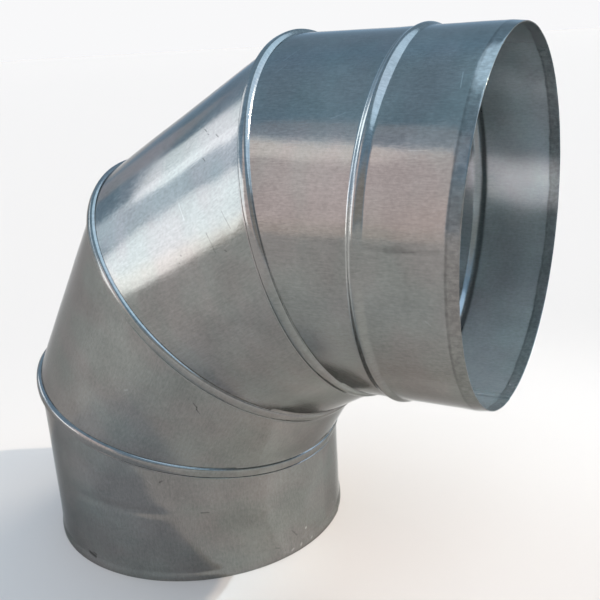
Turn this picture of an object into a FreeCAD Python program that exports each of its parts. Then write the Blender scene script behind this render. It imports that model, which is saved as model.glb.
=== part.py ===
import FreeCAD, Part
import math
import os
import Sketcher

# Round four-piece elbow of galvanised sheet, nominal duct size 250 mm, standing on its lower mouth.
# Part frame: origin at the centre of the lower mouth's edge plane, +Z up the lower collar's axis,
# +X along the upper collar's axis towards its mouth. Millimetres and degrees.

SIZES = [
    ("sheet", 0.6),           # sheet thickness
    ("tube_or", 124.6),       # outside radius of every piece of tube
    ("bend_r", 212.0),        # centre-line radius of the bend
    ("half_turn", 15.0),      # angle between a tube piece's square section and its mitre plane
    ("lower_len", 58.0),      # lower mouth to the level of the bend's centre
    ("upper_len", 64.0),      # upper mouth to the plumb line of the bend's centre
    ("lip_gap", 0.35),        # clearance between the lock's lip and the tube under it
    ("lip_end", 5.8),         # mitre plane to the free edge of the lip
    ("lip_root", 3.7),        # mitre plane to the foot of the lip's rise
    ("crest_low", 2.9),       # mitre plane to the crest's lower shoulder
    ("crest_high", 2.6),      # mitre plane to the crest's upper shoulder
    ("crest_up", 2.5),        # height of the crest above the oval where the two tubes meet
    ("crest_foot", 4.8),      # mitre plane to the crest's foot on its own tube
    ("fold_shift", 0.3),      # shift of a fold's inside corner along the tube
    ("flange_up", 1.3),       # height of the turned-out edge held inside the crest
    ("flange_back", 1.2),     # mitre plane to the turned-out edge's back
    ("flange_front", 0.6),    # mitre plane to the turned-out edge's front
    ("flange_draft", 0.1),    # run of the turned-out edge's root radius along the tube
    ("overcut", 1.0),         # how far each hollow runs past an open end
    ("hem_up", 7.0),          # height of the folded hem at the lower mouth
    ("hem_gap", 0.9),         # gap between the hem's leaf and the tube
    ("square_top", 10.0),     # bend centre's level up to the lower collar's last square section
    ("bead_back", 61.0),      # upper mouth to the middle of the stop bead
    ("bead_up", 2.2),         # height of the bead above the tube
    ("bead_r", 5.0),          # outside radius of the bead's round
    ("mouth_len", 8.0),       # length of the tapered band at the upper mouth
    ("mouth_in", 1.0),        # how far that band closes in
]

doc = FreeCAD.newDocument("duct_elbow")
sheet_obj = doc.addObject("Spreadsheet::Sheet", "Sizes")
for row, (alias, value) in enumerate(SIZES, start=1):
    sheet_obj.set("A%d" % row, alias)
    sheet_obj.set("B%d" % row, str(value))
    sheet_obj.setAlias("B%d" % row, alias)
doc.recompute()


def size(alias):
    """Value of one cell, for the few places that need a number."""
    return float(sheet_obj.get(alias))


def origin_plane(body, role):
    return next(item for item in body.Origin.OriginFeatures if item.Role == role)


def new_sketch(body, name, role):
    sketch = body.newObject("Sketcher::SketchObject", name)
    sketch.AttachmentSupport = (origin_plane(body, role), [""])
    sketch.MapMode = "FlatFace"
    return sketch


def bind(sketch, constraint, expression):
    """Add a size constraint and tie it to the sheet."""
    index = sketch.addConstraint(constraint)
    sketch.setExpression("Constraints[%d]" % index, expression)


def mitre_section(body, name, side, along, lift, line="own"):
    """Oval section parallel to a mitre plane.

    side is +1 for the piece's far mitre plane and -1 for its near one. along is the distance from
    that plane in the direction of travel, lift the height above the tube's outside. The oval is
    centred on the axis of this piece's "own" tube, on the "neighbour" tube's across the mitre, or
    on the "normal" of the mitre plane between the two.
    """
    sketch = new_sketch(body, name, "XY_Plane")
    tilt = "(%d * Sizes.half_turn)" % side
    turn = FreeCAD.Rotation(FreeCAD.Vector(0, 1, 0), side * size("half_turn"))
    sketch.AttachmentOffset = FreeCAD.Placement(FreeCAD.Vector(), turn)
    run, rise = {
        "own": ("0", "1 / cos(%s)" % tilt),
        "neighbour": ("2 * sin(%s)" % tilt, "cos(2 * %s) / cos(%s)" % (tilt, tilt)),
        "normal": ("sin(%s)" % tilt, "cos(%s)" % tilt),
    }[line]
    base_x = "-Sizes.bend_r + (%s) * %s" % (along, run)
    base_z = "Sizes.bend_r * tan(%s) + (%s) * %s" % (tilt, along, rise)
    sketch.setExpression("AttachmentOffset.Base.x", base_x)
    sketch.setExpression("AttachmentOffset.Base.z", base_z)
    radius = size("tube_or")
    long_radius = radius / math.cos(math.radians(size("half_turn")))
    long_end = FreeCAD.Vector(long_radius, 0, 0)
    sketch.addGeometry(Part.Ellipse(long_end, FreeCAD.Vector(0, radius, 0), FreeCAD.Vector()), False)
    sketch.exposeInternalGeometry(0)
    sketch.addConstraint(Sketcher.Constraint("Coincident", 0, 3, -1, 1))
    sketch.addConstraint(Sketcher.Constraint("Horizontal", 1))
    long_axis = "2 * (Sizes.tube_or + %s) / cos(Sizes.half_turn)" % lift
    bind(sketch, Sketcher.Constraint("Distance", 1, 2 * long_radius), long_axis)
    bind(sketch, Sketcher.Constraint("Distance", 2, 2 * radius), "2 * (Sizes.tube_or + %s)" % lift)
    return sketch


def square_section(body, name, level, lift):
    """Round section square to the tube, level mm past the bend's centre in the direction of travel."""
    sketch = new_sketch(body, name, "XY_Plane")
    sketch.setExpression("AttachmentOffset.Base.x", "-Sizes.bend_r")
    sketch.setExpression("AttachmentOffset.Base.z", level)
    radius = size("tube_or")
    sketch.addGeometry(Part.Circle(FreeCAD.Vector(), FreeCAD.Vector(0, 0, 1), radius), False)
    sketch.addConstraint(Sketcher.Constraint("Coincident", 0, 3, -1, 1))
    bind(sketch, Sketcher.Constraint("Radius", 0, radius), "Sizes.tube_or + %s" % lift)
    return sketch


def loft(body, kind, name, sections):
    """Straight-ruled loft through the sections, added or taken away."""
    doc.recompute()
    feature = body.newObject("PartDesign::%sLoft" % kind, name)
    feature.Profile = sections[0]
    feature.Sections = sections[1:]
    feature.Ruled = True
    feature.Refine = False
    doc.recompute()
    return feature


# The lock's fold, walked from its lip over the crest to its foot: distance from the mitre plane,
# height, the way the fold's inside corner is shifted, and the line the oval is centred on. The lip
# lies along the neighbour's tube; the crest runs straight across the mitre.
LOCK_FOLD = [
    ("-Sizes.lip_end", "Sizes.lip_gap + Sizes.sheet", 0, "neighbour"),
    ("-Sizes.lip_root", "Sizes.lip_gap + Sizes.sheet", 1, "neighbour"),
    ("-Sizes.crest_low", "Sizes.crest_up", 1, "normal"),
    ("Sizes.crest_high", "Sizes.crest_up", -1, "normal"),
    ("Sizes.crest_foot", "0", -1, "own"),
]

# The turned-out edge that the next piece's fold closes over.
FLANGE = [
    ("-Sizes.flange_back - Sizes.flange_draft", "0"),
    ("-Sizes.flange_back", "Sizes.flange_up"),
    ("-Sizes.flange_front", "Sizes.flange_up"),
]


def lock_outside(body):
    return [
        mitre_section(body, "lock_out_%d" % i, -1, along, lift, line)
        for i, (along, lift, shift, line) in enumerate(LOCK_FOLD)
    ]


def lock_inside(body):
    sections = []
    for i, (along, lift, shift, line) in enumerate(LOCK_FOLD):
        inner_along = "%s + %d * Sizes.fold_shift" % (along, shift)
        if i == 0:
            inner_along = "%s - Sizes.overcut" % along
        inner_lift = "%s - Sizes.sheet" % lift
        sections.append(mitre_section(body, "lock_in_%d" % i, -1, inner_along, inner_lift, line))
    return sections


def flange_outside(body):
    return [
        mitre_section(body, "flange_out_%d" % i, 1, along, lift)
        for i, (along, lift) in enumerate(FLANGE)
    ]


def flange_inside(body):
    reach = "-Sizes.flange_front + Sizes.overcut"
    return [mitre_section(body, "flange_in", 1, reach, "-Sizes.sheet")]


def new_piece(name):
    body = doc.addObject("PartDesign::Body", name)
    body.Label = name
    return body


def place(body, steps):
    """Swing a piece round the bend's centre, one step being twice the half turn."""
    angle = steps * 2 * size("half_turn")
    base = FreeCAD.Vector(size("bend_r"), 0, size("lower_len"))
    body.Placement = FreeCAD.Placement(base, FreeCAD.Rotation(FreeCAD.Vector(0, 1, 0), angle))


def outline_sketch(body, name, points):
    """Closed outline beside the tube's axis: pairs of expressions for the radius and the level."""
    sketch = new_sketch(body, name, "XZ_Plane")
    sketch.setExpression("AttachmentOffset.Base.x", "-Sizes.bend_r")
    count = len(points)
    for i in range(count):
        start = FreeCAD.Vector(200 + 10 * i, 10 * (i % 3), 0)
        end = FreeCAD.Vector(210 + 10 * i, 10 * ((i + 1) % 3), 0)
        sketch.addGeometry(Part.LineSegment(start, end), False)
    for i in range(count):
        sketch.addConstraint(Sketcher.Constraint("Coincident", i, 2, (i + 1) % count, 1))
    for i, (radius, level) in enumerate(points):
        bind(sketch, Sketcher.Constraint("DistanceX", -1, 1, i, 1, 1.0), radius)
        bind(sketch, Sketcher.Constraint("DistanceY", -1, 1, i, 1, 1.0), level)
    return sketch


# Lower collar: plain tube with a hem folded outward at the mouth and the turned-out edge on top.
lower_collar = new_piece("lower_collar")
wall = [square_section(lower_collar, "mouth_out", "-Sizes.lower_len", "0")]
loft(lower_collar, "Additive", "tube", wall + flange_outside(lower_collar))
hem_level = "-Sizes.lower_len"
hem_or = "Sizes.tube_or + Sizes.hem_gap + Sizes.sheet"
hem_points = [
    ("Sizes.tube_or - Sizes.sheet / 2", hem_level),
    (hem_or, hem_level),
    (hem_or, hem_level + " + Sizes.hem_up"),
    (hem_or + " - Sizes.sheet", hem_level + " + Sizes.hem_up"),
    (hem_or + " - Sizes.sheet", hem_level + " + Sizes.sheet"),
    ("Sizes.tube_or - Sizes.sheet / 2", hem_level + " + Sizes.sheet"),
]
hem_outline = outline_sketch(lower_collar, "hem_outline", hem_points)
doc.recompute()
hem = lower_collar.newObject("PartDesign::Revolution", "hem")
hem.Profile = hem_outline
hem.ReferenceAxis = (hem_outline, ["V_Axis"])
hem.Angle = 360
doc.recompute()
hollow = [
    square_section(lower_collar, "mouth_in", "-Sizes.lower_len - Sizes.overcut", "-Sizes.sheet"),
    square_section(lower_collar, "square_in", "Sizes.square_top", "-Sizes.sheet"),
]
loft(lower_collar, "Subtractive", "hollow", hollow + flange_inside(lower_collar))
place(lower_collar, 0)

# Two middle gores, alike: the lock's fold at the near end and the turned-out edge at the far one.
for step, name in ((1, "lower_gore"), (2, "upper_gore")):
    gore = new_piece(name)
    loft(gore, "Additive", "tube", lock_outside(gore) + flange_outside(gore))
    loft(gore, "Subtractive", "hollow", lock_inside(gore) + flange_inside(gore))
    place(gore, step)

# Upper collar: the lock's fold at the near end, a stop bead, and a mouth that closes in a little.
upper_collar = new_piece("upper_collar")
bead_level = "(Sizes.upper_len - Sizes.bead_back)"


def bead_sections(name, radius, foot, strips):
    """Sections up and down the bead's round, whose ends meet the wall at the given height.

    The round is made up of this many straight strips.
    """
    middle = "(Sizes.bead_up - Sizes.bead_r)"
    half = "acos((%s - %s) / (%s))" % (foot, middle, radius)
    sections = []
    for i in range(strips + 1):
        angle = "(%s * %d / %d)" % (half, 2 * i - strips, strips)
        level = "%s + (%s) * sin(%s)" % (bead_level, radius, angle)
        lift = "%s + (%s) * cos(%s)" % (middle, radius, angle)
        sections.append(square_section(upper_collar, "%s_%d" % (name, i), level, lift))
    return sections


taper_level = "Sizes.upper_len - Sizes.mouth_len"
mouth = [
    square_section(upper_collar, "taper_out", taper_level, "0"),
    square_section(upper_collar, "mouth_out", "Sizes.upper_len", "-Sizes.mouth_in"),
]
bead = bead_sections("bead_out", "Sizes.bead_r", "0", strips=5)
loft(upper_collar, "Additive", "tube", lock_outside(upper_collar) + bead + mouth)
mouth = [
    square_section(upper_collar, "taper_in", taper_level, "-Sizes.sheet"),
    square_section(upper_collar, "mouth_in", "Sizes.upper_len", "-Sizes.mouth_in - Sizes.sheet"),
]
bead = bead_sections("bead_in", "Sizes.bead_r - Sizes.sheet", "-Sizes.sheet", strips=3)
loft(upper_collar, "Subtractive", "hollow", lock_inside(upper_collar) + bead + mouth)
place(upper_collar, 3)

doc.recompute()
pieces = [item for item in doc.Objects if item.TypeId == "PartDesign::Body"]
for item in doc.Objects:
    if "Invalid" in item.State or "Error" in item.State:
        raise RuntimeError("%s did not build: %s" % (item.Name, item.State))

os.makedirs("parts", exist_ok=True)
for body in pieces:
    shape = body.Shape
    if shape.isNull() or not shape.isValid() or len(shape.Solids) != 1:
        raise RuntimeError("%s is not one sound solid" % body.Label)
    shape.exportStep("parts/%s.step" % body.Label)
    print(body.Label, "volume mm3", round(shape.Volume, 1), "faces", len(shape.Faces))
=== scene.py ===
"""Looks of the round four-piece duct elbow of galvanised sheet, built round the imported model.

Metres and radians. Each tube piece is shaped beside the bend's centre, with its own axis upright at
x = -BEND_R and its two mitre planes through the centre, and is then swung into its place.
"""
import math

import bmesh
import bpy
from mathutils import Matrix, Vector, noise


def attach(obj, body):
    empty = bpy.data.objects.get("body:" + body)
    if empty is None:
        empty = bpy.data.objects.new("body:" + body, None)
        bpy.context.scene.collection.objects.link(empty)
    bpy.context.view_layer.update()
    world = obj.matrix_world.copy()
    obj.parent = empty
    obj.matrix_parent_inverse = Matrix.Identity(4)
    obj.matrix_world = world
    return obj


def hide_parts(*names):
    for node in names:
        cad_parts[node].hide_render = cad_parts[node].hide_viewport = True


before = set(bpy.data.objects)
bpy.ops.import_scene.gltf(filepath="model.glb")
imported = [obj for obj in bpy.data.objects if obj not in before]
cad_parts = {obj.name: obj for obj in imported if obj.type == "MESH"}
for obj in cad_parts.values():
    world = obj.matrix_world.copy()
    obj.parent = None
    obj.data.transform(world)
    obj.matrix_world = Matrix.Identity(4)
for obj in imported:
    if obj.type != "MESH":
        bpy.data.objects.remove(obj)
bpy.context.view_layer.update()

MM = 0.001

# The elbow's own sizes.
SHEET = 0.6 * MM
TUBE_OR = 124.6 * MM
BEND_R = 212.0 * MM
HALF_TURN = math.radians(15)
LOWER_LEN = 58.0 * MM
UPPER_LEN = 64.0 * MM
ROUND_STEPS = 256

HEM_UP = 7.0 * MM
HEM_OUT = 1.1 * MM
BEAD_LEVEL = 3.0 * MM
BEAD_HALF = 4.9 * MM
BEAD_UP = 2.2 * MM
BEAD_CURVE = 1.35
MOUTH_LEN = 8.0 * MM
MOUTH_IN = 1.0 * MM
CREST_UP = 2.48 * MM
LIP_UP = 0.95 * MM

# Lap of the sheet's two edges: its height, its places in degrees round the tube from the throat,
# half the width of its step and how far round it fades out.
LAP = 0.55 * MM
LAP_OUTSIDE = 13.0
LAP_ON_FOLD = 4.8
LAP_INSIDE = -2.6
LAP_STEP = 0.07
LAP_FADE = 50.0

# Unevenness of the wall, each as its height in mm, how busy it is round the tube and its length
# along it; the mouth edge's waves have no length. The even draw-in in mm makes room for it.
BROAD_SWELL = (0.5, 1.7, 0.08)
FINE_SWELL = (0.14, 4.6, 0.034)
MOUTH_WAVE = (0.22, 8.0)
DRAW_IN = 0.1

# Handling crease: degrees over which it begins and ends, level at its left end, climb per degree.
CREASE_BEGINS = (-109.0, -100.0)
CREASE_ENDS = (-74.0, -63.0)
CREASE_LEVEL = 5.5 * MM
CREASE_SLOPE = -0.085 * MM
CREASE_WIDTH = 3.4 * MM
CREASE_DEPTH = 0.8 * MM

# Edges that fold by more than this stay crisp in the shading.
CRISP = math.radians(50)


# Rings: where a unit circle goes to become one section of a tube piece.

def square_ring(level, lift):
    """Round section square to the tube."""
    radius = TUBE_OR + lift
    return Matrix.Translation((-BEND_R, 0, level)) @ Matrix.Diagonal((radius, radius, 1, 1))


def mitre_ring(side, along, lift, line="own"):
    """Oval section parallel to the far (+1) or near (-1) mitre plane, along metres past it.

    line is what its middle follows: the piece's own axis, its neighbour's or the plane's normal.
    """
    tilt = side * HALF_TURN
    run, rise = {
        "own": (0, 1 / math.cos(tilt)),
        "neighbour": (2 * math.sin(tilt), math.cos(2 * tilt) / math.cos(tilt)),
        "normal": (math.sin(tilt), math.cos(tilt)),
    }[line]
    centre = (-BEND_R + along * run, 0, BEND_R * math.tan(tilt) + along * rise)
    radius = TUBE_OR + lift
    oval = Matrix.Diagonal((radius / math.cos(HALF_TURN), radius, 1, 1))
    return Matrix.Translation(centre) @ Matrix.Rotation(tilt, 4, "Y") @ oval


def between(near, far, count):
    """count rings spaced evenly between two rings, ends left out."""
    shares = [i / (count + 1) for i in range(1, count + 1)]
    return [near * (1 - s) + far * s for s in shares]


def plain(rings):
    """Rings whose edges stay unrounded."""
    return [(ring, 0) for ring in rings]


# The lock's fold beyond its crest, mm along and mm up, and how much like its straight foot.
SHOULDER = [
    (0.3, 2.48, 0.0),
    (1.1, 2.42, 0.1),
    (1.8, 2.2, 0.25),
    (2.4, 1.8, 0.45),
    (2.85, 1.3, 0.65),
    (3.15, 0.75, 0.8),
    (3.35, 0.2, 0.92),
    (3.5, 0.0, 1.0),
]


def lock_outside():
    """The lock's fold from its lip over the crest to its foot, each ring with its edge's rounding."""
    rings = [
        (mitre_ring(-1, -5.8 * MM, LIP_UP, "neighbour"), 0.2 * MM),
        (mitre_ring(-1, -4.7 * MM, LIP_UP, "neighbour"), 0.15 * MM),
        (mitre_ring(-1, -4.35 * MM, 0.55 * MM, "neighbour"), 0),
        (mitre_ring(-1, -3.75 * MM, 1.9 * MM, "normal"), 0),
        (mitre_ring(-1, -3.35 * MM, 2.3 * MM, "normal"), 0.2 * MM),
        (mitre_ring(-1, -1.4 * MM, CREST_UP, "normal"), 0),
    ]
    for along, up, straight in SHOULDER:
        crest = mitre_ring(-1, along * MM, up * MM, "normal")
        foot = mitre_ring(-1, along * MM, up * MM, "own")
        rings.append((crest * (1 - straight) + foot * straight, 0))
    return rings


def lock_inside():
    """The hollow side of the same fold, from its foot back to its lip."""
    return plain([
        mitre_ring(-1, 5.6 * MM, -SHEET),
        mitre_ring(-1, 3.6 * MM, -SHEET),
        mitre_ring(-1, 1.2 * MM, CREST_UP - SHEET, "normal"),
        mitre_ring(-1, -2.5 * MM, CREST_UP - SHEET, "normal"),
        mitre_ring(-1, -3.3 * MM, LIP_UP - SHEET, "neighbour"),
        mitre_ring(-1, -5.8 * MM, LIP_UP - SHEET, "neighbour"),
    ])


def turned_edge():
    """The turned-out edge at a piece's far end, which the next piece's fold closes over."""
    return plain([
        mitre_ring(1, -3.0 * MM, 0),
        mitre_ring(1, -1.3 * MM, 0),
        mitre_ring(1, -1.2 * MM, 1.3 * MM),
        mitre_ring(1, -0.6 * MM, 1.3 * MM),
        mitre_ring(1, -0.6 * MM, -SHEET),
        mitre_ring(1, -3.0 * MM, -SHEET),
    ])


def tube_wall(near, far, count, lift):
    """Plain wall between two (kind, place) ends at one height."""
    ends = []
    for side, place in (near, far):
        ends.append(mitre_ring(side, place, lift) if side else square_ring(place, lift))
    return plain([ends[0], *between(ends[0], ends[1], count), ends[1]])


def bead_rings(lift, steps):
    """The rolled bead from one foot over its top to the other, with soft feet."""
    rings = []
    for i in range(steps + 1):
        share = 2 * i / steps - 1
        up = BEAD_UP * math.cos(math.pi / 2 * share) ** BEAD_CURVE
        rings.append((square_ring(BEAD_LEVEL + BEAD_HALF * share, lift + up), 0))
    return rings


def lower_collar_rings():
    """Folded foot edge, wall, turned-out edge and inside of the lower collar."""
    foot = -LOWER_LEN
    hem = [
        (square_ring(foot, -SHEET), 0.25 * MM),
        (square_ring(foot, HEM_OUT), 0.35 * MM),
        (square_ring(foot + 1.4 * MM, HEM_OUT), 0),
        (square_ring(foot + HEM_UP - 3.6 * MM, HEM_OUT), 0.9 * MM),
        (square_ring(foot + HEM_UP + 0.3 * MM, 0), 0.9 * MM),
    ]
    outside = tube_wall((0, foot + HEM_UP + 1.5 * MM), (1, -8 * MM), 40, 0)
    inside = tube_wall((1, -8 * MM), (0, foot + 3 * MM), 20, -SHEET)
    return hem + outside + turned_edge() + inside


def gore_rings():
    """Lock, wall, turned-out edge and inside of a middle piece."""
    outside = tube_wall((-1, 7 * MM), (1, -8 * MM), 26, 0)
    inside = tube_wall((1, -8 * MM), (-1, 8 * MM), 14, -SHEET)
    return lock_outside() + outside + turned_edge() + inside + lock_inside()


def upper_collar_rings():
    """Lock, wall with the rolled bead, drawn-in mouth and inside of the upper collar."""
    taper = UPPER_LEN - MOUTH_LEN
    behind = tube_wall((-1, 7 * MM), (0, BEAD_LEVEL - BEAD_HALF - MM), 12, 0)
    ahead = tube_wall((0, BEAD_LEVEL + BEAD_HALF + MM), (0, taper - 1.5 * MM), 8, 0)
    mouth = [
        (square_ring(taper, 0), 0.8 * MM),
        (square_ring(UPPER_LEN - 4 * MM, -MOUTH_IN / 2), 0),
        (square_ring(UPPER_LEN - 1.2 * MM, -MOUTH_IN * 0.85), 0),
        (square_ring(UPPER_LEN, -MOUTH_IN), 0.2 * MM),
        (square_ring(UPPER_LEN, -MOUTH_IN - SHEET), 0.2 * MM),
        (square_ring(UPPER_LEN - 1.2 * MM, -MOUTH_IN * 0.85 - SHEET), 0),
        (square_ring(UPPER_LEN - 4 * MM, -MOUTH_IN / 2 - SHEET), 0),
        (square_ring(taper, -SHEET), 0.8 * MM),
    ]
    within = tube_wall((0, taper - 1.5 * MM), (0, BEAD_LEVEL + BEAD_HALF + MM), 8, -SHEET)
    beyond = tube_wall((0, BEAD_LEVEL - BEAD_HALF - MM), (-1, 8 * MM), 10, -SHEET)
    groove = list(reversed(bead_rings(-SHEET, 14)))
    return (lock_outside() + behind + bead_rings(0, 18) + ahead + mouth
            + within + groove + beyond + lock_inside())


def grow(bm, rings, steps=ROUND_STEPS):
    """Grow a closed wall ring by ring, each ring pulled out of the last one's edges."""
    first = bmesh.ops.create_circle(bm, radius=1.0, segments=steps, matrix=rings[0][0])
    edges = list({edge for vert in first["verts"] for edge in vert.link_edges})
    loops = [edges]
    for (here, _), (there, _) in zip(rings, rings[1:]):
        grown = bmesh.ops.extrude_edge_only(bm, edges=edges)["geom"]
        verts = [item for item in grown if isinstance(item, bmesh.types.BMVert)]
        fresh = set(verts)
        edges = [
            item for item in grown
            if isinstance(item, bmesh.types.BMEdge) and all(v in fresh for v in item.verts)
        ]
        bmesh.ops.transform(bm, matrix=there @ here.inverted(), verts=verts)
        loops.append(edges)
    bmesh.ops.bridge_loops(bm, edges=loops[-1] + loops[0])
    for radius in sorted({rounding for _, rounding in rings if rounding}):
        chosen = [e for (_, rounding), loop in zip(rings, loops) if rounding == radius for e in loop]
        bmesh.ops.bevel(bm, geom=chosen, offset=radius, segments=3, profile=0.5,
                        affect="EDGES", clamp_overlap=True, material=-1)
    bmesh.ops.recalc_face_normals(bm, faces=bm.faces)


def ease(value, low, high):
    """0 below low, 1 above high, smooth in between."""
    share = min(1.0, max(0.0, (value - low) / (high - low)))
    return share * share * (3 - 2 * share)


def mitre_depth(point, side):
    """How far a point lies inside the far (+1) or near (-1) mitre plane."""
    tilt = side * HALF_TURN
    return -side * (point.x * math.sin(tilt) + point.z * math.cos(tilt))


def lap_over(bm, name):
    """Step the wall by a sheet where its two edges lap at the throat, fading out round the tube."""
    for turn in (LAP_OUTSIDE, LAP_ON_FOLD, LAP_INSIDE):
        for side in (turn - LAP_STEP, turn + LAP_STEP):
            across = Vector((-math.sin(math.radians(side)), math.cos(math.radians(side)), 0))
            near = [f for f in bm.faces if f.calc_center_median().x > -BEND_R]
            edges = list({e for f in near for e in f.edges})
            verts = list({v for f in near for v in f.verts})
            bmesh.ops.bisect_plane(bm, geom=near + edges + verts,
                                   plane_co=(-BEND_R, 0, 0), plane_no=across)
    for vert in bm.verts:
        point = vert.co
        turn = math.degrees(math.atan2(point.y, point.x + BEND_R))
        arm = Vector((point.x + BEND_R, point.y, 0))
        out = arm.normalized()
        if arm.length < TUBE_OR - SHEET / 2:
            if turn > LAP_INSIDE:
                vert.co -= out * LAP * max(0, 1 - (turn - LAP_INSIDE) / LAP_FADE)
            continue
        on_fold = 0.0 if name == "lower_collar" else 1 - ease(mitre_depth(point, -1), 5 * MM, 7 * MM)
        for edge, part in ((LAP_ON_FOLD, on_fold), (LAP_OUTSIDE, 1 - on_fold)):
            if turn < edge:
                vert.co += out * LAP * part * max(0, 1 - (edge - turn) / LAP_FADE)


def swell(kind, out, level, shift):
    """Height in mm of one kind of unevenness where out points, level metres along the tube."""
    height, busy, length = kind
    return height * noise.noise(Vector((out.x * busy, out.y * busy, level / length)) + shift)


def loosen(bm, name, seed):
    """Slight hand-rolled unevenness of the plain wall, none at the seams, bead, hem and mouth."""
    for vert in bm.verts:
        point = vert.co
        calm = 1.0
        if name != "lower_collar":
            calm *= ease(mitre_depth(point, -1), 7 * MM, 26 * MM)
        if name != "upper_collar":
            calm *= ease(mitre_depth(point, 1), 6 * MM, 22 * MM)
        if name == "lower_collar":
            calm *= ease(point.z + LOWER_LEN, HEM_UP + MM, HEM_UP + 18 * MM)
        if name == "upper_collar":
            calm *= ease(abs(point.z - BEAD_LEVEL), BEAD_HALF + MM, BEAD_HALF + 16 * MM)
            calm *= 0.25 + 0.75 * ease(UPPER_LEN - MOUTH_LEN - point.z, 0, 14 * MM)
            if point.z > UPPER_LEN - MOUTH_LEN:
                calm = 0.25
        out = Vector((point.x + BEND_R, point.y, 0)).normalized()
        uneven = swell(BROAD_SWELL, out, point.z, Vector((seed, 0, 0)))
        uneven += swell(FINE_SWELL, out, point.z, Vector((0, seed, 0)))
        wave = 0.0
        if name == "upper_collar":
            height, busy = MOUTH_WAVE
            at_edge = ease(point.z, UPPER_LEN - MOUTH_LEN, UPPER_LEN - 3 * MM)
            wave = height * noise.noise(out * busy) * at_edge
        vert.co += out * (uneven * calm - DRAW_IN * calm + wave) * MM


def press_crease(bm):
    """The shallow handling crease low on the lower collar's camera side."""
    for vert in bm.verts:
        turn = math.degrees(math.atan2(vert.co.y, vert.co.x + BEND_R))
        line = CREASE_LEVEL + (turn - CREASE_BEGINS[0]) * CREASE_SLOPE
        ends = ease(turn, *CREASE_BEGINS) * (1 - ease(turn, *CREASE_ENDS))
        off = (vert.co.z - line) / CREASE_WIDTH
        out = Vector((vert.co.x + BEND_R, vert.co.y, 0)).normalized()
        vert.co -= out * (CREASE_DEPTH * ends * math.exp(-off * off))


def unroll(bm):
    """UV in metres: u round the tube from its heel, v along it; the cut is at the throat."""
    layer = bm.loops.layers.uv.new("unrolled")
    for face in bm.faces:
        angles = [math.atan2(-loop.vert.co.y, -loop.vert.co.x - BEND_R) for loop in face.loops]
        for loop, angle in zip(face.loops, angles):
            if angle - angles[0] > math.pi:
                angle -= 2 * math.pi
            if angle - angles[0] < -math.pi:
                angle += 2 * math.pi
            loop[layer].uv = (angle * TUBE_OR, loop.vert.co.z)


def part_inside(bm):
    """Give the faces that look at the tube's axis the second finish."""
    for face in bm.faces:
        middle = face.calc_center_median()
        out = Vector((middle.x + BEND_R, middle.y, 0))
        if face.normal.dot(out) < 0 and out.length < TUBE_OR + 2 * MM:
            face.material_index = 1


def settle(bm, name, step, node, finishes):
    """Swing a shaped piece into place and make it part of the elbow."""
    for edge in bm.edges:
        edge.smooth = edge.calc_face_angle(0) < CRISP
    for face in bm.faces:
        face.smooth = True
    turn = Matrix.Rotation(step * 2 * HALF_TURN, 4, "Y")
    bmesh.ops.transform(bm, matrix=Matrix.Translation((BEND_R, 0, LOWER_LEN)) @ turn, verts=bm.verts)
    mesh = bpy.data.meshes.new(name)
    bm.to_mesh(mesh)
    bm.free()
    piece = bpy.data.objects.new(name, mesh)
    bpy.context.scene.collection.objects.link(piece)
    for finish in finishes:
        mesh.materials.append(finish)
    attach(piece, "root")
    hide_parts(node)


# Finishes.

def map_range(tree, value, bounds, interpolation="LINEAR"):
    """Map a value from bounds' first pair onto its second pair, level beyond."""
    made = tree.nodes.new("ShaderNodeMapRange")
    made.interpolation_type = interpolation
    tree.links.new(value, made.inputs["Value"])
    for key, number in zip(("From Min", "From Max", "To Min", "To Max"), bounds):
        made.inputs[key].default_value = number
    return made.outputs["Result"]


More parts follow.
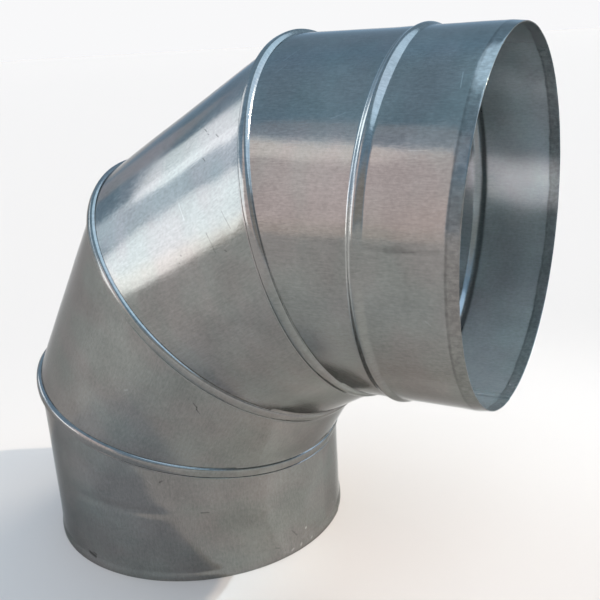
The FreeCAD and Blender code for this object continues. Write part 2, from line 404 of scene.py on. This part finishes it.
class Finish:
    """A small helper that adds nodes to one material and joins them."""

    def __init__(self, name):
        self.material = bpy.data.materials.new(name)
        self.material.use_nodes = True
        self.tree = self.material.node_tree
        self.shader = self.tree.nodes["Principled BSDF"]

    def node(self, kind, **settings):
        made = self.tree.nodes.new(kind)
        for key, value in settings.items():
            if key in made.inputs:
                if isinstance(value, bpy.types.NodeSocket):
                    self.tree.links.new(value, made.inputs[key])
                else:
                    made.inputs[key].default_value = value
            else:
                setattr(made, key, value)
        return made

    def math(self, operation, first, second=0.0):
        made = self.tree.nodes.new("ShaderNodeMath")
        made.operation = operation
        for socket, value in zip(made.inputs, (first, second)):
            if isinstance(value, bpy.types.NodeSocket):
                self.tree.links.new(value, socket)
            else:
                socket.default_value = value
        return made.outputs[0]

    def blotches(self, vector, scale, detail=2.0, stretch=(1, 1, 1), shift=(0, 0, 0)):
        moved = self.node("ShaderNodeMapping")
        self.tree.links.new(vector, moved.inputs["Vector"])
        moved.inputs["Scale"].default_value = stretch
        moved.inputs["Location"].default_value = shift
        cloud = self.node("ShaderNodeTexNoise", Scale=scale, Detail=detail, Roughness=0.55)
        self.tree.links.new(moved.outputs[0], cloud.inputs["Vector"])
        return cloud.outputs["Fac"]

    def rescale(self, value, low, high, to_low, to_high):
        return map_range(self.tree, value, (low, high, to_low, to_high), "SMOOTHSTEP")

    def swing(self, cloud, depth):
        """A cloud round 0.5 as a change of up to depth either way."""
        return self.rescale(cloud, 0.3, 0.7, -depth, depth)

    def mix(self, share, first, second):
        """first where share is 0, second where it is 1."""
        return self.math("ADD", self.math("MULTIPLY", first, self.math("SUBTRACT", 1.0, share)),
                         self.math("MULTIPLY", second, share))

    def arrow(self, operation, first, second=None, scale=None):
        made = self.tree.nodes.new("ShaderNodeVectorMath")
        made.operation = operation
        sockets = (made.inputs[0], made.inputs[1], made.inputs[3])
        for socket, value in zip(sockets, (first, second, scale)):
            if isinstance(value, bpy.types.NodeSocket):
                self.tree.links.new(value, socket)
            elif value is not None:
                socket.default_value = value
        return made.outputs["Value" if operation in ("DOT_PRODUCT", "LENGTH") else "Vector"]

    def stroke(self, unrolled, turn_a, level_a, turn_b, level_b, width, strength):
        """A soft-ended mark from one place to another, a scratch, a smudge or a painted glint, as a
        share added to the shade.
        """
        start, end = sheet_place(turn_a, level_a), sheet_place(turn_b, level_b)
        run = end - start
        away = self.arrow("SUBTRACT", unrolled, tuple(start))
        share = self.arrow("DOT_PRODUCT", away, tuple(run / run.length_squared))
        share = self.math("MINIMUM", self.math("MAXIMUM", share, 0.0), 1.0)
        nearest = self.arrow("SCALE", tuple(run), scale=share)
        off = self.arrow("LENGTH", self.arrow("SUBTRACT", away, nearest))
        return self.rescale(off, 0.4 * width * MM, 1.3 * width * MM, strength, 0.0)

    def level(self, unrolled):
        """Metres along the tube."""
        made = self.node("ShaderNodeSeparateXYZ")
        self.tree.links.new(unrolled, made.inputs[0])
        return made.outputs["Y"]

    def worked_band(self, unrolled, uneven):
        """1 on the drawn-in band at the mouth, whose edge is uneven, and the dull line along it."""
        wobble = self.swing(self.blotches(unrolled, 60.0, 3.0), uneven)
        height = self.math("ADD", self.level(unrolled), wobble)
        place = UPPER_LEN - MOUTH_LEN
        band = self.rescale(height, place - 0.6 * MM, place + 0.6 * MM, 0.0, 1.0)
        far = self.math("ABSOLUTE", self.math("SUBTRACT", height, place + 0.8 * MM))
        return band, self.rescale(far, 0.2 * MM, 1.2 * MM, 0.82, 1.0)


def sheet_place(turn, level):
    """Place on the unrolled sheet of a point given in degrees from the throat and mm along the tube."""
    from_heel = turn + 180 if turn < 0 else turn - 180
    return Vector((math.radians(from_heel) * TUBE_OR, level * MM, 0))


# Marks on the outside: two ends (degrees round the tube, mm along it), half width in mm, strength.
MARKS = {
    "lower_collar": [
        (-103.5, -49.3, -100.2, -50.6, 1.5, -0.6),
        (-101.0, -47.6, -99.6, -48.4, 0.8, -0.5),
        (-67.7, 29.4, -66.8, 30.6, 0.7, -0.35),
        (-54.6, 1.5, -51.8, 0.9, 0.6, -0.4),
        (-13.4, -42.2, -13.2, -41.8, 0.9, 1.0),
        (8.2, -43.6, 8.4, -43.2, 0.8, 0.8),
        # These three light marks low on the hem are painted glints.
        (-21.4, -54.4, -20.4, -53.6, 0.7, 0.6),
        (-16.9, -54.2, -16.3, -53.0, 0.7, 0.7),
        (-11.2, -54.0, -10.4, -53.4, 0.6, 0.6),
        (-28.2, -46.0, -26.6, -47.4, 0.6, -0.3),
        (-20.4, -37.0, -18.2, -43.5, 0.7, -0.25),
        (-72.0, 31.0, -70.4, 27.0, 0.5, 0.25),
    ],
    "lower_gore": [
        (-65.4, 22.6, -63.9, 20.6, 0.45, -0.4),
        (-63.9, 20.6, -63.6, 18.4, 0.45, -0.4),
        (-63.6, 18.4, -62.2, 16.2, 0.45, -0.4),
        (-88.0, 3.0, -87.0, 5.0, 0.6, 0.3),
    ],
    "upper_gore": [
        (-137.4, 40.6, -135.6, 43.0, 0.36, -0.5),
        (-134.6, 43.6, -133.8, 45.0, 0.3, -0.4),
        (-131.8, 51.6, -130.4, 53.4, 0.38, -0.5),
        (-126.8, 38.6, -125.4, 40.2, 0.36, -0.45),
        (-105.0, 27.0, -103.2, 27.4, 0.26, -0.45),
        (-102.6, 27.6, -101.2, 27.8, 0.26, -0.45),
        (-100.6, 27.9, -98.2, 28.0, 0.26, -0.45),
        (-97.6, 35.4, -97.0, 36.4, 0.36, -0.45),
        (-101.5, -2.2, -101.1, -1.6, 0.36, -0.45),
        (-103.4, 1.2, -103.0, 1.8, 0.4, -0.4),
        (-118.0, 12.0, -112.0, 13.5, 0.3, 0.25),
        (-108.0, 44.0, -102.0, 46.0, 0.35, -0.3),
    ],
    "upper_collar": [
        (-151.9, -70.1, -158.6, -64.6, 0.3, 0.35),
        (-147.1, -69.1, -149.9, -66.0, 0.25, 0.3),
        (-143.6, 49.4, -138.3, 50.8, 0.3, 0.45),
        (-129.3, -21.1, -131.1, -12.7, 0.3, 0.3),
        (-95.5, 10.6, -95.3, 31.3, 2.2, -0.12),
        (-95.0, 22.0, -95.4, 52.5, 1.6, -0.14),
        (-94.9, 33.0, -95.1, 39.0, 0.5, -0.16),
        (-96.6, 30.0, -97.2, 44.0, 2.4, -0.1),
        (-97.4, -30.2, -96.0, -4.7, 2.0, -0.08),
        (-75.4, 47.1, -76.6, 44.0, 0.4, 0.2),
        (-120.4, 30.2, -120.5, 40.6, 0.4, 0.18),
    ],
}


# How fine the sheet's clouds are, per metre of the unrolled sheet.
CRYSTALS = 420.0
GRAIN = 1100.0
RIPPLES = 420.0
PATINA = 24.0
BLOOM = 15.0
STREAKS = 520.0
MOTTLE = 260.0

# The bloom's two casts, as factors on the sheet's own colour.
WARM_CAST = (1.025, 0.985, 0.985)
COOL_CAST = (0.97, 1.01, 0.995)

# Both sides of the sheet, the inside's tint painted lighter and bluer than the outside's as painted
# light, and what is added to them on the upper collar: band is the worked mouth band's (unevenness,
# darkest, lightest), the next entry the painted light across the bead, as (metres along the tube, half
# width, factor), a painted highlight on its outer flank and painted shade in its groove inside.
OUTSIDE = {
    "tint": (0.245, 0.246, 0.236),
    "metallic": 0.93,
    "roughness": 0.15,
    "relief_depth": 0.028 * MM,
}
# The inside's tint is painted lighter and bluer than the outside's: painted light that stands in for
# light the tube's inside lacks.
INSIDE_PAINTED_LIGHTER = {
    "tint": (0.425, 0.475, 0.49),
    "metallic": 0.7,
    "roughness": 0.17,
    "relief_depth": 0.01 * MM,
}
WORKED_BAND_AND_BEAD_LIGHT_OUTSIDE = {
    "band": (0.1 * MM, 0.74, 0.92),
    # Painted highlight along the bead's outer flank.
    "bead_painted_light": (BEAD_LEVEL - 3.1 * MM, 2.2 * MM, 1.6),
}
WORKED_BAND_AND_BEAD_SHADE_INSIDE = {
    "band": (0.5 * MM, 0.66, 0.86),
    # Painted shade across the bead's groove inside.
    "bead_painted_light": (BEAD_LEVEL, 6.5 * MM, 0.55),
}


def galvanised(name, shift, tint, metallic, roughness, relief_depth, marks=(), band=None, bead_painted_light=None):
    """Zinc-coated sheet: its crystals, rolled grain, ripples along the tube, streaks and patina."""
    finish = Finish(name)
    tree, shader = finish.tree, finish.shader
    unrolled = finish.node("ShaderNodeUVMap", uv_map="unrolled").outputs["UV"]
    shader.inputs["Metallic"].default_value = metallic
    shader.inputs["Specular Tint"].default_value = (0.5, 0.5, 0.5, 1)
    crystals = finish.blotches(unrolled, CRYSTALS, 2.0, shift=(shift, 0, 0))
    grain = finish.blotches(unrolled, GRAIN, 2.0, stretch=(1, 0.2, 1), shift=(0, shift, 0))
    ripples = finish.blotches(unrolled, RIPPLES, 1.0, stretch=(1, 0.28, 1), shift=(shift, 5, 0))
    patina = finish.blotches(unrolled, PATINA, 4.0, shift=(shift, shift, 0))
    bloom = finish.blotches(unrolled, BLOOM, 2.0, stretch=(1, 1.6, 1), shift=(shift, 2, 0))
    streaks = finish.blotches(unrolled, STREAKS, 3.0, stretch=(1, 0.09, 1), shift=(5, shift, 0))

    shade = finish.math("ADD", finish.swing(crystals, 0.05), finish.swing(grain, 0.07))
    shade = finish.math("ADD", shade, finish.swing(patina, 0.1))
    shade = finish.math("ADD", shade, finish.swing(streaks, 0.035))
    shade = finish.math("ADD", shade, 1.0)
    for mark in marks:
        shade = finish.math("ADD", shade, finish.stroke(unrolled, *mark))
    if band:
        uneven, darkest, lightest = band
        worked, edge = finish.worked_band(unrolled, uneven)
        cloud = finish.blotches(unrolled, MOTTLE, 3.0)
        mottle = finish.rescale(cloud, 0.35, 0.65, darkest, lightest)
        shade = finish.mix(worked, shade, finish.math("MULTIPLY", shade, mottle))
        shade = finish.math("MULTIPLY", shade, edge)
    # Painted light across the bead: a factor above 1 is a painted highlight, below 1 painted shade.
    if bead_painted_light:
        place, half, factor = bead_painted_light
        off = finish.math("ABSOLUTE", finish.math("SUBTRACT", finish.level(unrolled), place))
        shade = finish.math("MULTIPLY", shade, finish.rescale(off, 0.55 * half, half, factor, 1.0))

    hue = finish.node("ShaderNodeMix", data_type="RGBA")
    tree.links.new(finish.rescale(bloom, 0.35, 0.65, 0.0, 1.0), hue.inputs["Factor"])
    for socket, cast in zip((hue.inputs[6], hue.inputs[7]), (WARM_CAST, COOL_CAST)):
        socket.default_value = (tint[0] * cast[0], tint[1] * cast[1], tint[2] * cast[2], 1)
    colour = finish.node("ShaderNodeVectorMath", operation="SCALE")
    tree.links.new(hue.outputs[2], colour.inputs[0])
    tree.links.new(shade, colour.inputs["Scale"])
    tree.links.new(colour.outputs[0], shader.inputs["Base Color"])

    rough = finish.rescale(patina, 0.3, 0.7, roughness - 0.04, roughness + 0.04)
    rough = finish.math("ADD", rough, finish.swing(grain, 0.03))
    tree.links.new(rough, shader.inputs["Roughness"])

    relief = finish.math("ADD", finish.math("MULTIPLY", crystals, 0.25),
                         finish.math("MULTIPLY", grain, 0.25))
    relief = finish.math("ADD", relief, finish.math("MULTIPLY", ripples, 0.5))
    bump = finish.node("ShaderNodeBump", Strength=1.0, Distance=relief_depth)
    tree.links.new(relief, bump.inputs["Height"])
    tree.links.new(bump.outputs[0], shader.inputs["Normal"])
    return finish.material


def finishes_of(name, seed):
    """Outside and inside finish of one tube piece."""
    outside, inside = dict(OUTSIDE), dict(INSIDE_PAINTED_LIGHTER)
    if name == "upper_collar":
        outside.update(WORKED_BAND_AND_BEAD_LIGHT_OUTSIDE)
        inside.update(WORKED_BAND_AND_BEAD_SHADE_INSIDE)
    return [
        galvanised("galvanised_" + name, seed, marks=MARKS[name], **outside),
        galvanised("galvanised_inside_" + name, seed + 1, **inside),
    ]


# Camera at the photograph's place, with the small shift its framing needs.
CAMERA_PLACE = (0.4102, -0.5513, 0.4050)
CAMERA_TURN = 0.5461
CAMERA_DOWN = 0.3537
CAMERA_ROLL = -0.0736

lens = bpy.data.cameras.new("camera")
lens.sensor_width = 36.0
lens.lens = 51.25
lens.shift_x, lens.shift_y = 0.0646, 0.0593
lens.clip_start, lens.clip_end = 0.01, 500.0
camera = bpy.data.objects.new("camera", lens)
bpy.context.scene.collection.objects.link(camera)
camera.matrix_world = (
    Matrix.Translation(CAMERA_PLACE)
    @ Matrix.Rotation(CAMERA_TURN, 4, "Z")
    @ Matrix.Rotation(math.pi / 2 - CAMERA_DOWN, 4, "X")
    @ Matrix.Rotation(CAMERA_ROLL, 4, "Z")
)
bpy.context.scene.camera = camera

# Tube pieces from the foot up: name, rings, how many seams' turns it is swung by, seed.
PIECES = [
    ("lower_collar", lower_collar_rings, 0, 3.0),
    ("lower_gore", gore_rings, 1, 11.0),
    ("upper_gore", gore_rings, 2, 19.0),
    ("upper_collar", upper_collar_rings, 3, 27.0),
]
for name, rings, step, seed in PIECES:
    finishes = finishes_of(name, seed)
    bm = bmesh.new()
    grow(bm, rings())
    lap_over(bm, name)
    loosen(bm, name, seed)
    if name == "lower_collar":
        press_crease(bm)
    unroll(bm)
    part_inside(bm)
    settle(bm, name + "_sheet", step, name, finishes)

# Lamps. Each softbox stands far off, so every place on the elbow sees it in the same direction.
CENTRE = Vector((0.07, 0.0, 0.2))
LAMP_REACH = 60.0

# Name, azimuth and elevation, width and height as the elbow sees it, all in degrees, then
# brightness and colour.
SOFTBOXES = [
    ("left_white", -147, 9.5, 25, 26, 2.6, (1.0, 0.98, 0.98)),
    ("upper_left_white", 174, 30, 20, 16, 2.3, (1.0, 0.99, 0.99)),
    ("left_haze", -171, 22, 20, 14, 1.2, (0.93, 0.95, 1.0)),
    ("left_brown", 153, 15, 14, 13, 0.5, (1.0, 0.6, 0.4)),
    ("front_warm", -119.5, 27, 31, 42, 0.62, (1.0, 0.55, 0.25)),
    ("front_warm_middle", -119.5, 27, 27, 34, 0.36, (1.0, 0.6, 0.35)),
    ("front_warm_rim", -119.5, 30, 36, 60, 0.32, (1.0, 0.6, 0.4)),
    ("front_warm_top", -130, 44, 16, 10, 0.8, (1.0, 0.95, 0.9)),
]


def aim(lamp_object, azimuth, elevation, reach):
    """Put a lamp reach metres from the elbow's middle and turn it to face it."""
    a, e = math.radians(azimuth), math.radians(elevation)
    away = Vector((math.cos(a) * math.cos(e), math.sin(a) * math.cos(e), math.sin(e)))
    lamp_object.location = CENTRE + reach * away
    lamp_object.rotation_euler = away.to_track_quat("Z", "Y").to_euler()
    bpy.context.scene.collection.objects.link(lamp_object)


def softbox(name, azimuth, elevation, width, height, brightness, colour):
    """Far area lamp; brightness is what it adds to a mirror's view, where 1 is white."""
    lamp = bpy.data.lights.new(name, "AREA")
    lamp.shape = "RECTANGLE"
    lamp.size = 2 * LAMP_REACH * math.tan(math.radians(width / 2))
    lamp.size_y = 2 * LAMP_REACH * math.tan(math.radians(height / 2))
    lamp.energy = brightness * math.pi * lamp.size * lamp.size_y
    lamp.color = colour
    placed = bpy.data.objects.new(name, lamp)
    aim(placed, azimuth, elevation, LAMP_REACH)
    placed.visible_camera = False
    return placed


for row in SOFTBOXES:
    softbox(*row)

# The bright part of the sky, a disc, shows in the metal only.
sky_glow = softbox("sky_glow", 37, 57, 76, 76, 1.95, (0.62, 0.79, 1.0))
sky_glow.data.shape = "DISK"
sky_glow.data.energy *= math.pi / 4
sky_glow.visible_diffuse = False

# These two light only what is dull: the floor, and the little of the metal that isn't a mirror.
ceiling = softbox("ceiling", 0, 88, 70, 70, 0.32, (1.0, 0.85, 0.6))
ceiling.visible_glossy = False
behind = softbox("behind", 78, 35, 26, 26, 5.0, (1.0, 0.9, 0.75))
behind.visible_glossy = False

# The sun. Its level is the share of white that it adds to a white floor.
KEY_AZIMUTH = 32.5
KEY_HEIGHT = 33
KEY_WIDTH = 1.2
KEY_LEVEL = 0.32

key = bpy.data.lights.new("key", "SUN")
key.angle = math.radians(KEY_WIDTH)
key.energy = KEY_LEVEL * math.pi / math.sin(math.radians(KEY_HEIGHT))
key.color = (1.0, 0.88, 0.72)
aim(bpy.data.objects.new("key", key), KEY_AZIMUTH, KEY_HEIGHT, 8.0)


def spot(name, place, target, cone, blend, size, watts, colour):
    """Lamp with a round beam of cone degrees from one point to another."""
    lamp = bpy.data.lights.new(name, "SPOT")
    lamp.spot_size, lamp.spot_blend = math.radians(cone), blend
    lamp.shadow_soft_size = size
    lamp.energy = watts
    lamp.color = colour
    placed = bpy.data.objects.new(name, lamp)
    placed.location = place
    placed.rotation_euler = (Vector(place) - Vector(target)).to_track_quat("Z", "Y").to_euler()
    bpy.context.scene.collection.objects.link(placed)
    return placed


# Lifts the floor under the bend, which the throat mirrors.
fill = spot("throat_floor_fill", (0.75, 0.6, 0.75), (0.15, 0.12, 0),
            cone=45, blend=1.0, size=0.15, watts=15.0, colour=(0.95, 0.97, 1.0))
fill.visible_glossy = False

# Two discs of light on the floor beyond the throat, which only the metal above them shows.
THROAT_GLOW_PLACE = (0.2, 0.1, 0.002)
THROAT_GLOW = 0.16

for name, width in (("throat_glow", 0.34), ("throat_glow_middle", 0.2)):
    glow = bpy.data.lights.new(name, "AREA")
    glow.shape = "DISK"
    glow.size = width
    glow.energy = THROAT_GLOW * math.pi * math.pi / 4 * width * width
    glow.color = (0.92, 1.0, 1.0)
    placed = bpy.data.objects.new(name, glow)
    placed.location = THROAT_GLOW_PLACE
    placed.rotation_euler = (math.pi, 0, 0)
    placed.visible_camera = placed.visible_diffuse = False
    bpy.context.scene.collection.objects.link(placed)

# The sun's beam through the mouth, from the key's own direction: the patch that it lights, and the
# narrower one whose reflection glints.
BEAM_FROM = (4.518, 2.705, 3.538)

spot("mouth_sun", BEAM_FROM, (0.276, 0.05, 0.22),
     cone=1.55, blend=0.1, size=0.03, watts=1300.0, colour=(0.65, 0.86, 1.0))
spot("mouth_glint", BEAM_FROM, (0.276, -0.05, 0.284),
     cone=1.0, blend=0.5, size=0.008, watts=18000.0, colour=(1.0, 0.76, 0.76))

# Sky: pale at the horizon, blue above. The heights are the upward part of the view's direction.
SKY = [
    (0.08, (0.94, 0.94, 0.95)),
    (0.13, (0.5, 0.74, 1.0)),
    (0.5, (0.5, 0.76, 1.04)),
    (0.75, (0.4, 0.66, 0.95)),
    (0.9, (0.4, 0.62, 0.82)),
]

# To the right of the camera the lower sky gives way to a dull warm grey: its azimuth, how much of
# the direction lies that way where it begins and is full, and the heights where it comes and goes.
DULL_SIDE = math.radians(-45)
DULL_TOWARDS = (0.35, 0.85, 0.0, 1.0)
DULL_HEIGHTS = [(0.08, 0.16, 0.0, 1.0), (0.45, 0.7, 1.0, 0.0)]
DULL_GREY = (0.62, 0.6, 0.57, 1)

world = bpy.data.worlds.new("studio_sky")
bpy.context.scene.world = world
world.use_nodes = True
tree = world.node_tree
tree.nodes.clear()
direction = tree.nodes.new("ShaderNodeTexCoord").outputs["Generated"]
parts = tree.nodes.new("ShaderNodeSeparateXYZ")
tree.links.new(direction, parts.inputs[0])

sky = tree.nodes.new("ShaderNodeValToRGB")
tree.links.new(parts.outputs["Z"], sky.inputs["Fac"])
ramp = sky.color_ramp
ramp.elements.remove(ramp.elements[1])
for i, (height, colour) in enumerate(SKY):
    stop = ramp.elements[0] if i == 0 else ramp.elements.new(height)
    stop.position = height
    stop.color = (*colour, 1)

towards = tree.nodes.new("ShaderNodeVectorMath")
towards.operation = "DOT_PRODUCT"
towards.inputs[1].default_value = (math.cos(DULL_SIDE), math.sin(DULL_SIDE), 0)
tree.links.new(direction, towards.inputs[0])
share = map_range(tree, towards.outputs["Value"], DULL_TOWARDS)
for bounds in DULL_HEIGHTS:
    both = tree.nodes.new("ShaderNodeMath")
    both.operation = "MULTIPLY"
    tree.links.new(share, both.inputs[0])
    tree.links.new(map_range(tree, parts.outputs["Z"], bounds), both.inputs[1])
    share = both.outputs[0]

duller = tree.nodes.new("ShaderNodeMix")
duller.data_type = "RGBA"
tree.links.new(share, duller.inputs["Factor"])
tree.links.new(sky.outputs["Color"], duller.inputs[6])
duller.inputs[7].default_value = DULL_GREY
light = tree.nodes.new("ShaderNodeBackground")
tree.links.new(duller.outputs[2], light.inputs["Color"])
out = tree.nodes.new("ShaderNodeOutputWorld")
tree.links.new(light.outputs[0], out.inputs["Surface"])

# Floor.
FLOOR_HALF = 12.0
FLOOR_COLOUR = (0.737, 0.668, 0.62, 1)

bm = bmesh.new()
bmesh.ops.create_grid(bm, x_segments=1, y_segments=1, size=FLOOR_HALF)
mesh = bpy.data.meshes.new("floor")
bm.to_mesh(mesh)
bm.free()
floor = bpy.data.objects.new("floor", mesh)
bpy.context.scene.collection.objects.link(floor)
ground = bpy.data.materials.new("pale_floor")
ground.use_nodes = True
paint = ground.node_tree.nodes["Principled BSDF"]
paint.inputs["Base Color"].default_value = FLOOR_COLOUR
paint.inputs["Roughness"].default_value = 0.9
paint.inputs["Specular IOR Level"].default_value = 0.1
mesh.materials.append(ground)

bpy.context.scene.view_settings.view_transform = "Standard"
